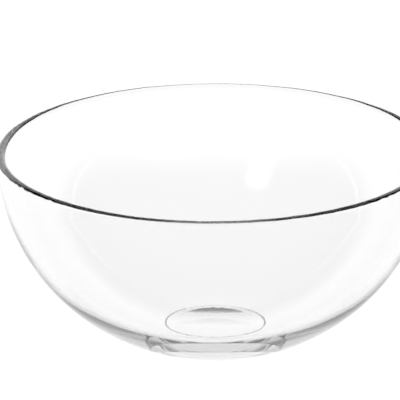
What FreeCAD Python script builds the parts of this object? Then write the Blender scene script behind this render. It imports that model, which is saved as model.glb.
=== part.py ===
import FreeCAD, Part
import math
import os

# A round-bottomed bowl pressed in one piece of clear glass: a low round foot, a body that is almost
# a hemisphere, a thick floor, a wall that thins slowly from there to the mouth, and a rounded,
# fire-polished lip.
# Origin: on the axis, in the plane that the foot rests on. +Z is up, out of the mouth. Millimetres.

# Overall
HEIGHT = 96.8               # resting plane to the top of the lip
RIM_RADIUS = 100.0          # outside of the lip

# Wall: both faces are ellipses about one centre on the axis, and the inner one ends level with that centre
CENTRE_DROP = 3.4           # that centre, below the top of the lip
OUTER_RADIUS = 99.6         # half width of the outer ellipse
OUTER_DEPTH = 94.5          # half height of the outer ellipse
INNER_RADIUS = 96.0         # half width of the inner ellipse
INNER_DEPTH = 90.0          # half height of the inner ellipse

# Floor: the inside of the bottom is part of a sphere, flatter than the wall, so that the base is thick
FLOOR_Z = 4.6               # its middle, above the resting plane
FLOOR_END = 49.0            # where it meets the inner ellipse, degrees from the lowest point
FLOOR_BLEND = 6.0           # half width of the smooth strip that joins them

# Lip: rounded on the inside from the end of the inner ellipse up, a quarter of another ellipse
LIP_INSIDE = 2.4            # width of that rounding
LIP_OUTSIDE = 1.5           # radius of the rounding of its outer side
SHOULDER_DROP = 12.0        # where the outer face starts to swell into the lip, below the top
SHOULDER_PULL = 3.5         # length of the tangents of the swelling

# Foot: a low round pad under the body
FOOT_RADIUS = 25.2
FOOT_EDGE = 0.5             # rounding of its lower edge
FOOT_ROOT = 0.5             # rounding of the hollow corner where it meets the body

CENTRE_Z = HEIGHT - CENTRE_DROP
LIP_Z = HEIGHT - LIP_OUTSIDE
AXIS = FreeCAD.Vector(0, 0, 1)


def point(radius, z):
    """A point of the half section, in the XZ plane."""
    return FreeCAD.Vector(radius, 0, z)


def outside(radius):
    """The point of the outer ellipse at a radius, and the direction straight out of the glass there."""
    level = math.sqrt(1 - (radius / OUTER_RADIUS) ** 2)
    outward = point(radius / OUTER_RADIUS ** 2, -level / OUTER_DEPTH)
    return point(radius, CENTRE_Z - OUTER_DEPTH * level), outward.normalize()


def ellipse_arc(half_width, half_height, first_radius, last_radius):
    """The lower right stretch of an ellipse about the body's centre, from one radius out to another."""
    ellipse = Part.Ellipse(point(half_width, CENTRE_Z), point(0, CENTRE_Z - half_height), point(0, CENTRE_Z))
    stretch = Part.Arc(ellipse, math.acos(last_radius / half_width), math.acos(first_radius / half_width))
    return stretch.toBSpline().toShape()


def round_corner(centre, radius, first, last):
    """The short arc about a centre, from one direction to another."""
    middle = (first + last).normalize()
    return Part.Arc(centre + first * radius, centre + middle * radius, centre + last * radius).toShape()


def bezier(poles):
    """The edge that a list of poles draws."""
    curve = Part.BezierCurve()
    curve.setPoles(poles)
    return curve.toShape()


def shoulder():
    """The smooth swelling from the outer ellipse to the outside of the lip, and the radius it starts at."""
    low_z = HEIGHT - SHOULDER_DROP
    radius = OUTER_RADIUS * math.sqrt(1 - ((CENTRE_Z - low_z) / OUTER_DEPTH) ** 2)
    start, outward = outside(radius)
    along = AXIS.cross(point(0, 0) - outward).cross(outward).normalize()
    before_lip = point(RIM_RADIUS, LIP_Z - SHOULDER_PULL)
    return bezier([start, start + along * SHOULDER_PULL, before_lip, point(RIM_RADIUS, LIP_Z)]), radius


def foot_root():
    """The hollow corner between the foot and the body, its height, and the radius where it meets the body."""
    touch = FOOT_RADIUS
    for _ in range(10):
        touch = FOOT_RADIUS + FOOT_ROOT * (1 - outside(touch)[1].x)
    on_body, outward = outside(touch)
    centre = on_body + outward * FOOT_ROOT
    return round_corner(centre, FOOT_ROOT, point(-1, 0), point(0, 0) - outward), centre.z, touch


def foot_edges():
    """The foot's underside from the axis out, its lower edge, its side and its root; the root's radius."""
    resting_radius = FOOT_RADIUS - FOOT_EDGE
    root, root_z, root_radius = foot_root()
    edges = [
        Part.makeLine(point(0, 0), point(resting_radius, 0)),
        round_corner(point(resting_radius, FOOT_EDGE), FOOT_EDGE, point(0, -1), point(1, 0)),
        Part.makeLine(point(FOOT_RADIUS, FOOT_EDGE), point(FOOT_RADIUS, root_z)),
        root,
    ]
    return edges, root_radius


def lip_edges():
    """The lip from its outer side over the flat top and down to the end of the inner ellipse."""
    outer_end = point(RIM_RADIUS - LIP_OUTSIDE, HEIGHT)
    inner_end = point(INNER_RADIUS + LIP_INSIDE, HEIGHT)
    rounding = Part.Ellipse(inner_end, point(INNER_RADIUS, CENTRE_Z), point(inner_end.x, CENTRE_Z))
    return [
        round_corner(point(outer_end.x, LIP_Z), LIP_OUTSIDE, point(1, 0), point(0, 1)),
        Part.makeLine(outer_end, inner_end),
        Part.Arc(rounding, 0, math.pi / 2).toBSpline().toShape(),
    ]


def floor_edges():
    """The inside from the wall to the axis: the smooth strip and the sphere; the strip's outer radius."""
    angle = math.radians(FLOOR_END)
    corner = point(INNER_RADIUS * math.sin(angle), CENTRE_Z - INNER_DEPTH * math.cos(angle))
    rise = corner.z - FLOOR_Z
    sphere = (corner.x ** 2 + rise ** 2) / (2 * rise)

    def on_sphere(radius):
        return point(radius, FLOOR_Z + sphere - math.sqrt(sphere ** 2 - radius ** 2))

    low = on_sphere(corner.x - FLOOR_BLEND)
    high_radius = corner.x + FLOOR_BLEND
    level = math.sqrt(1 - (high_radius / INNER_RADIUS) ** 2)
    high = point(high_radius, CENTRE_Z - INNER_DEPTH * level)
    low_slope = low.x / math.sqrt(sphere ** 2 - low.x ** 2)
    high_slope = INNER_DEPTH * high_radius / (INNER_RADIUS ** 2 * level)
    middle_x = (high.z - low.z + low_slope * low.x - high_slope * high.x) / (low_slope - high_slope)
    middle = point(middle_x, low.z + low_slope * (middle_x - low.x))
    floor = Part.Arc(low, on_sphere(low.x / 2), point(0, FLOOR_Z)).toShape()
    return [bezier([high, middle, low]), floor], high_radius


def half_section():
    """The closed half section, from the axis out under the foot, up the outside and down the inside."""
    under, root_radius = foot_edges()
    swelling, shoulder_radius = shoulder()
    floor, wall_radius = floor_edges()
    edges = under + [ellipse_arc(OUTER_RADIUS, OUTER_DEPTH, root_radius, shoulder_radius), swelling]
    edges += lip_edges()
    edges += [ellipse_arc(INNER_RADIUS, INNER_DEPTH, wall_radius, INNER_RADIUS)]
    edges += floor + [Part.makeLine(point(0, FLOOR_Z), point(0, 0))]
    return Part.Face(Part.Wire(edges))


os.makedirs("parts", exist_ok=True)
bowl = half_section().revolve(point(0, 0), AXIS, 360)
bowl.exportStep("parts/bowl.step")
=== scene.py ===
import math

import bmesh
import bpy
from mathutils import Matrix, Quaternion, Vector, noise


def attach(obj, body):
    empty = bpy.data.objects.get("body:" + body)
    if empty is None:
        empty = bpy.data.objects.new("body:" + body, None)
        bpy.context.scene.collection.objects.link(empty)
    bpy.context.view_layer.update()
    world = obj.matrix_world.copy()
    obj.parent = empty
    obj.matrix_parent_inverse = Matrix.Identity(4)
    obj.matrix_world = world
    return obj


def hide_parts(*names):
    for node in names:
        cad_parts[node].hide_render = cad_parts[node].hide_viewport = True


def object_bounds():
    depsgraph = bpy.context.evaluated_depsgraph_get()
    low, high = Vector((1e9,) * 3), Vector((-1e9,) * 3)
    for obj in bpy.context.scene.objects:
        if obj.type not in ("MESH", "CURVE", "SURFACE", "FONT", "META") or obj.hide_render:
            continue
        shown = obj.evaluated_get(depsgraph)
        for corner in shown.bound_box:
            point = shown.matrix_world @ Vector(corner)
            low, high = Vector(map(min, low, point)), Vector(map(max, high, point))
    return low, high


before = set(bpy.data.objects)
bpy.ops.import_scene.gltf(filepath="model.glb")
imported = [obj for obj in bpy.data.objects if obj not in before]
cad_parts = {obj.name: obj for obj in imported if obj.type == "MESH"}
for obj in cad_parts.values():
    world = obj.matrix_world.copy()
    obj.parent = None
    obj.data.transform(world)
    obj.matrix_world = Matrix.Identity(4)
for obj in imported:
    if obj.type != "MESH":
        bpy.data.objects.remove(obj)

# A round-bottomed bowl of clear pressed glass on a white light table. Metres, in the CAD model's frame:
# the foot rests on z = 0, +Z is up out of the mouth, and the axis of the bowl is x = y = 0.

MM = 0.001
CAD_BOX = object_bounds()
HEIGHT = CAD_BOX[1].z
RIM_RADIUS = CAD_BOX[1].x

# The bowl's section, as in the CAD model
CENTRE_Z = HEIGHT - 3.4 * MM            # the ellipses of the wall are about this point of the axis
OUTER = (99.6 * MM, 94.5 * MM)          # half width and half height of the outer ellipse
INNER = (96.0 * MM, 90.0 * MM)          # and of the inner one, above the floor
FLOOR_Z = 4.6 * MM                      # the middle of the floor, which is part of a sphere
FLOOR_END = 49.0                        # where the floor meets the wall, degrees up from the lowest point
FLOOR_BLEND = 6.0 * MM                  # half width of the smooth strip between them
LIP_INSIDE = 2.4 * MM                   # width of the lip's inner rounding, from the inner ellipse up
LIP_OUTSIDE = 1.5 * MM                  # radius of the rounding of its outer side
SHOULDER_Z = HEIGHT - 12 * MM           # where the outer face starts to swell into the lip
SHOULDER_PULL = 3.5 * MM                # length of the tangents of that swelling
FOOT_RADIUS = 25.2 * MM
FOOT_EDGE = 0.5 * MM                    # rounding of its lower edge
FOOT_ROOT = 0.5 * MM                    # rounding of the hollow corner where it meets the body
ROOT_TRIES = 10                         # rounds of the search for where that corner touches the body

# How finely the section and the round are divided
ROUND_STEPS = 256
WALL_STEPS = 96
LIP_STEPS = 16
EDGE_STEPS = 8
BASE_STEPS = 12

# Unevenness that pressing and fire polishing leave
RIM_WAVE = 0.2 * MM                     # rise and fall of the lip
RIM_WAVES = (7.0, 40.0)                 # how quickly it changes round the lip: two sizes of wave
RIM_WAVE_FINE = 0.6                     # share of the finer one
RIM_WAVE_PLACE = Vector((3, 7, 1))      # where in the noise the coarser one is taken
RIM_WAVE_REACH = 8 * MM                 # how far down from the lip it fades out
WALL_WAVE = 0.03 * MM                   # slow swells of each face of the wall
WALL_WAVE_SIZE = 28 * MM
WALL_WAVE_SHIFT = 40.0                  # how far apart in the noise the two faces are taken
EVEN_BELOW = 3 * MM                     # the base is even up to here,
UNEVEN_ABOVE = 14 * MM                  # and the swells are full from here up

# Glass
GLASS_IOR = 1.52
GLASS_ABSORPTION = 3.2                  # per metre, so that long ways through the glass go grey
RIPPLE_SIZE = 900.0                     # fine ripples of the skin, per metre
RIPPLE_HEIGHT = 0.002 * MM
SMUDGE_SIZE = 35.0                      # patches of faint smudges, per metre
SMUDGE_DETAIL = 4.0
SMUDGE_RANGE = (0.45, 0.75)             # how much of the noise is clear, and where the smudge is full
SMUDGE_ROUGHNESS = (0.0, 0.012)
LIGHT_BOUNCES = 64

# Surroundings: brightness by elevation in degrees, and soft round patches of another brightness over it:
# the two dark sides of the studio, a grey panel high behind the bowl, and one tall lamp of three patches
SKY = ((-90, 1.03), (20, 1.03), (37, 0.1), (90, 0.0))
PATCHES = (                             # azimuth, elevation, radius, softness, brightness
    (-90, 58, 45, 12, 0.0),
    (90, 58, 45, 12, 0.0),
    (180, 45, 12, 6, 0.3),
    (-30, 22, 7, 2, 0.95),
    (-30, 29, 7, 2, 0.95),
    (-30, 36, 7, 2, 0.95),
)
TABLE_GLOW = 1.03
TABLE_SIZE = 3.0                        # half of its side
TABLE_GAP = 0.1 * MM                    # how far it is below the foot

# Camera
CAMERA_DISTANCE = 0.9874
CAMERA_ELEVATION = 18.78
CAMERA_ROLL = 0.3
CAMERA_LENS = 193.0                     # millimetres
CAMERA_SENSOR = 36.0                    # millimetres across
AIM = Vector((-6.95 * MM, 0, CENTRE_Z - 23.0 * MM))


def make_camera():
    """A long lens, as far off and as high as for the photo, a little to the left of the bowl's axis."""
    data = bpy.data.cameras.new("camera")
    data.sensor_width = CAMERA_SENSOR
    data.lens = CAMERA_LENS
    camera = bpy.data.objects.new("camera", data)
    tilt = math.radians(CAMERA_ELEVATION)
    centre = Vector((0, 0, CENTRE_Z))
    camera.location = centre + CAMERA_DISTANCE * Vector((0, -math.cos(tilt), math.sin(tilt)))
    level = (AIM - camera.location).to_track_quat("-Z", "Y")
    camera.rotation_euler = (level @ Quaternion((0, 0, 1), math.radians(-CAMERA_ROLL))).to_euler()
    bpy.context.scene.collection.objects.link(camera)
    bpy.context.scene.camera = camera


def on_ellipse(ellipse, angle):
    """The point of an ellipse at an angle from its lowest point."""
    return ellipse[0] * math.sin(angle), CENTRE_Z - ellipse[1] * math.cos(angle)


def outward(radius):
    """The direction straight out of the outer ellipse at a radius."""
    level = math.sqrt(1 - (radius / OUTER[0]) ** 2)
    across, down = radius / OUTER[0] ** 2, level / OUTER[1]
    size = math.hypot(across, down)
    return across / size, -down / size


def steps(count, first=0.0, last=1.0):
    """Evenly spaced numbers from first up to, but not including, last."""
    return [first + (last - first) * i / count for i in range(count)]


def round_corner(centre, radius, first, last, count):
    """Points of an arc from one angle up to another, in degrees."""
    angles = [math.radians(a) for a in steps(count, first, last)]
    return [(centre[0] + radius * math.cos(a), centre[1] + radius * math.sin(a)) for a in angles]


def weighted(poles, weights):
    """The point that some poles make with a weight each."""
    return tuple(sum(w * p[k] for w, p in zip(weights, poles)) for k in (0, 1))


def shoulder():
    """The outer face from the lip down to the ellipse, and the angle where it ends on the ellipse."""
    angle = math.acos((CENTRE_Z - SHOULDER_Z) / OUTER[1])
    end = on_ellipse(OUTER, angle)
    across, down = outward(end[0])
    poles = (
        (RIM_RADIUS, HEIGHT - LIP_OUTSIDE),
        (RIM_RADIUS, HEIGHT - LIP_OUTSIDE - SHOULDER_PULL),
        (end[0] - down * SHOULDER_PULL, end[1] + across * SHOULDER_PULL),
        end,
    )
    curve = [((1 - t) ** 3, 3 * t * (1 - t) ** 2, 3 * t * t * (1 - t), t ** 3) for t in steps(BASE_STEPS)]
    return [weighted(poles, weights) for weights in curve], angle


def foot():
    """The foot from its hollow corner in to the axis, and the radius where the corner meets the body."""
    touch = FOOT_RADIUS
    for _ in range(ROOT_TRIES):
        touch = FOOT_RADIUS + FOOT_ROOT * (1 - outward(touch)[0])
    across, down = outward(touch)
    height = on_ellipse(OUTER, math.asin(touch / OUTER[0]))[1]
    centre = (touch + across * FOOT_ROOT, height + down * FOOT_ROOT)
    start = math.degrees(math.atan2(-down, -across))
    points = round_corner(centre, FOOT_ROOT, start, 180, EDGE_STEPS)
    points += [(FOOT_RADIUS, z) for z in steps(2, centre[1], FOOT_EDGE)]
    points += round_corner((FOOT_RADIUS - FOOT_EDGE, FOOT_EDGE), FOOT_EDGE, 0, -90, EDGE_STEPS)
    points += [(r, 0.0) for r in steps(BASE_STEPS, FOOT_RADIUS - FOOT_EDGE, 0)]
    return points, touch


def inner_face():
    """The inside of the glass up to the lip: part of a sphere, a smooth strip, and the wall's ellipse."""
    corner = on_ellipse(INNER, math.radians(FLOOR_END))
    rise = corner[1] - FLOOR_Z
    sphere = (corner[0] ** 2 + rise ** 2) / (2 * rise)
    first = math.asin((corner[0] - FLOOR_BLEND) / sphere)
    last = math.asin((corner[0] + FLOOR_BLEND) / INNER[0])

    def on_sphere(angle):
        return sphere * math.sin(angle), FLOOR_Z + sphere * (1 - math.cos(angle))

    start = on_sphere(first)
    end = on_ellipse(INNER, last)
    slopes = math.tan(first), INNER[1] / INNER[0] * math.tan(last)
    middle = (end[1] - start[1] + slopes[0] * start[0] - slopes[1] * end[0]) / (slopes[0] - slopes[1])
    poles = (start, (middle, start[1] + slopes[0] * (middle - start[0])), end)
    strip = [weighted(poles, ((1 - t) ** 2, 2 * t * (1 - t), t * t)) for t in steps(BASE_STEPS)]
    floor = [on_sphere(a) for a in steps(WALL_STEPS, 0, first)]
    return floor + strip + [on_ellipse(INNER, a) for a in steps(WALL_STEPS, last, math.pi / 2)]


def lip():
    """The top of the wall: a wide rounding on the inside, a narrow flat and a rounding on the outside."""
    angles = [math.radians(a) for a in steps(LIP_STEPS, 180, 90)]
    down = HEIGHT - CENTRE_Z
    inside = [(INNER[0] + LIP_INSIDE * (1 + math.cos(a)), CENTRE_Z + down * math.sin(a)) for a in angles]
    corner = (RIM_RADIUS - LIP_OUTSIDE, HEIGHT - LIP_OUTSIDE)
    return inside + [(INNER[0] + LIP_INSIDE, HEIGHT)] + round_corner(corner, LIP_OUTSIDE, 90, 0, EDGE_STEPS)


def section():
    """The half section: the inside from the floor's middle to the lip, and the rest of the way round."""
    outer_top, shoulder_angle = shoulder()
    foot_points, touch = foot()
    wall = [on_ellipse(OUTER, a) for a in steps(WALL_STEPS, shoulder_angle, math.asin(touch / OUTER[0]))]
    return inner_face(), lip() + outer_top + wall + foot_points + [(0.0, 0.0)]


def fade(value, low, high):
    """0 below low, 1 above high, and smooth between."""
    t = min(1, max(0, (value - low) / (high - low)))
    return t * t * (3 - 2 * t)


def uneven(point, side):
    """A point of the surface, moved as the pressing and the polishing do. side tells the two faces apart."""
    x, y, z = point
    radius = math.hypot(x, y)
    if radius < FOOT_RADIUS / 2 or z < EVEN_BELOW:
        return point
    away = Vector((x / radius, y / radius, 0))
    near_rim = fade(z, HEIGHT - RIM_WAVE_REACH, HEIGHT)
    coarse = noise.noise(away * RIM_WAVES[0] + RIM_WAVE_PLACE)
    lift = coarse + RIM_WAVE_FINE * noise.noise(away * RIM_WAVES[1])
    swell = noise.noise(point / WALL_WAVE_SIZE + Vector((0, 0, WALL_WAVE_SHIFT * side)))
    off_foot = fade(z, EVEN_BELOW, UNEVEN_ABOVE)
    return point + Vector((0, 0, lift * near_rim * RIM_WAVE)) + away * swell * off_foot * WALL_WAVE


def ring(mesh, radius, z, side):
    """The mesh's points all round at one radius and height, or one point many times on the axis."""
    if radius == 0:
        return [mesh.verts.new((0, 0, z))] * ROUND_STEPS
    angles = [2 * math.pi * k / ROUND_STEPS for k in range(ROUND_STEPS)]
    points = [Vector((radius * math.cos(a), radius * math.sin(a), z)) for a in angles]
    return [mesh.verts.new(uneven(p, side)) for p in points]


def make_bowl():
    """The whole bowl as one closed, smooth mesh of revolution."""
    inside, outside = section()
    mesh = bmesh.new()
    rings = [ring(mesh, r, z, 0) for r, z in inside] + [ring(mesh, r, z, 1) for r, z in outside]
    for low, high in zip(rings, rings[1:]):
        for k in range(ROUND_STEPS):
            corners = (low[k], low[k - 1], high[k - 1], high[k])
            face = mesh.faces.new(dict.fromkeys(corners))
            face.smooth = True
    bmesh.ops.recalc_face_normals(mesh, faces=mesh.faces)
    data = bpy.data.meshes.new("pressed_glass_bowl")
    mesh.to_mesh(data)
    mesh.free()
    bowl = bpy.data.objects.new("pressed_glass_bowl", data)
    bpy.context.scene.collection.objects.link(bowl)
    return bowl


def glass():
    """Clear glass: faint ripples and smudges on the skin, and a slight grey in the depth."""
    material = bpy.data.materials.new("clear_glass")
    material.use_nodes = True
    nodes, links = material.node_tree.nodes, material.node_tree.links
    shader = nodes["Principled BSDF"]
    shader.inputs["Base Color"].default_value = (1, 1, 1, 1)
    shader.inputs["Transmission Weight"].default_value = 1
    shader.inputs["IOR"].default_value = GLASS_IOR

    place = nodes.new("ShaderNodeTexCoord")
    ripples = nodes.new("ShaderNodeTexNoise")
    ripples.inputs["Scale"].default_value = RIPPLE_SIZE
    ripples.inputs["Detail"].default_value = 1
    links.new(place.outputs["Object"], ripples.inputs["Vector"])
    bump = nodes.new("ShaderNodeBump")
    bump.inputs["Distance"].default_value = RIPPLE_HEIGHT
    links.new(ripples.outputs["Fac"], bump.inputs["Height"])
    links.new(bump.outputs["Normal"], shader.inputs["Normal"])

    smudges = nodes.new("ShaderNodeTexNoise")
    smudges.inputs["Scale"].default_value = SMUDGE_SIZE
    smudges.inputs["Detail"].default_value = SMUDGE_DETAIL
    links.new(place.outputs["Object"], smudges.inputs["Vector"])
    spread = nodes.new("ShaderNodeMapRange")
    spread.inputs["From Min"].default_value = SMUDGE_RANGE[0]
    spread.inputs["From Max"].default_value = SMUDGE_RANGE[1]
    spread.inputs["To Min"].default_value = SMUDGE_ROUGHNESS[0]
    spread.inputs["To Max"].default_value = SMUDGE_ROUGHNESS[1]
    links.new(smudges.outputs["Fac"], spread.inputs["Value"])
    links.new(spread.outputs["Result"], shader.inputs["Roughness"])

    depth = nodes.new("ShaderNodeVolumeAbsorption")
    depth.inputs["Color"].default_value = (0, 0, 0, 1)
    depth.inputs["Density"].default_value = GLASS_ABSORPTION
    links.new(depth.outputs["Volume"], nodes["Material Output"].inputs["Volume"])
    return material


def light_table():
    """A white surface that glows evenly, so that the glass throws no shadow on it."""
    data = bpy.data.meshes.new("light_table")
    s = TABLE_SIZE
    data.from_pydata([(-s, -s, 0), (s, -s, 0), (s, s, 0), (-s, s, 0)], [], [(0, 1, 2, 3)])
    material = bpy.data.materials.new("light_table")
    material.use_nodes = True
    shader = material.node_tree.nodes["Principled BSDF"]
    shader.inputs["Base Color"].default_value = (0, 0, 0, 1)
    shader.inputs["Specular IOR Level"].default_value = 0
    shader.inputs["Emission Color"].default_value = (1, 1, 1, 1)
    shader.inputs["Emission Strength"].default_value = TABLE_GLOW
    data.materials.append(material)
    table = bpy.data.objects.new("light_table", data)
    table.location.z = -TABLE_GAP
    bpy.context.scene.collection.objects.link(table)


def toward(azimuth, elevation):
    """The direction at an azimuth, from the -Y side round to +X, and an elevation, both in degrees."""
    a, e = math.radians(azimuth), math.radians(elevation)
    return Vector((math.sin(a) * math.cos(e), -math.cos(a) * math.cos(e), math.sin(e)))


def surroundings():
    """Soft light from all round: a ramp of brightness by elevation, with soft-edged patches over it."""
    world = bpy.data.worlds.new("studio")
    world.use_nodes = True
    nodes, links = world.node_tree.nodes, world.node_tree.links
    direction = nodes.new("ShaderNodeTexCoord").outputs["Generated"]
    split = nodes.new("ShaderNodeSeparateXYZ")
    links.new(direction, split.inputs["Vector"])
    height = nodes.new("ShaderNodeMapRange")
    height.inputs["From Min"].default_value = -1
    links.new(split.outputs["Z"], height.inputs["Value"])
    ramp = nodes.new("ShaderNodeValToRGB")
    links.new(height.outputs["Result"], ramp.inputs["Fac"])
    stops = ramp.color_ramp.elements
    while len(stops) < len(SKY):
        stops.new(0.5)
    for stop, (elevation, value) in zip(stops, SKY):
        stop.position = (1 + math.sin(math.radians(elevation))) / 2
        stop.color = (value, value, value, 1)
    light = ramp.outputs["Color"]
    for azimuth, elevation, radius, softness, value in PATCHES:
        near = nodes.new("ShaderNodeVectorMath")
        near.operation = "DOT_PRODUCT"
        near.inputs[1].default_value = toward(azimuth, elevation)
        links.new(direction, near.inputs[0])
        mask = nodes.new("ShaderNodeMapRange")
        mask.interpolation_type = "SMOOTHSTEP"
        mask.inputs["From Min"].default_value = math.cos(math.radians(radius + softness))
        mask.inputs["From Max"].default_value = math.cos(math.radians(max(0, radius - softness)))
        links.new(near.outputs["Value"], mask.inputs["Value"])
        mix = nodes.new("ShaderNodeMix")
        mix.data_type = "RGBA"
        links.new(mask.outputs["Result"], mix.inputs["Factor"])
        links.new(light, mix.inputs["A"])
        mix.inputs["B"].default_value = (value, value, value, 1)
        light = mix.outputs["Result"]
    links.new(light, nodes["Background"].inputs["Color"])
    bpy.context.scene.world = world


def light_paths():
    """Light may go on through the thick glass for many turns before it is given up."""
    cycles = bpy.context.scene.cycles
    cycles.max_bounces = LIGHT_BOUNCES
    cycles.transmission_bounces = LIGHT_BOUNCES
    cycles.glossy_bounces = LIGHT_BOUNCES
    bpy.context.scene.view_settings.view_transform = "Standard"


make_camera()
bowl = make_bowl()
bowl.data.materials.append(glass())
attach(bowl, "root")
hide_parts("bowl")
light_table()
surroundings()
light_paths()
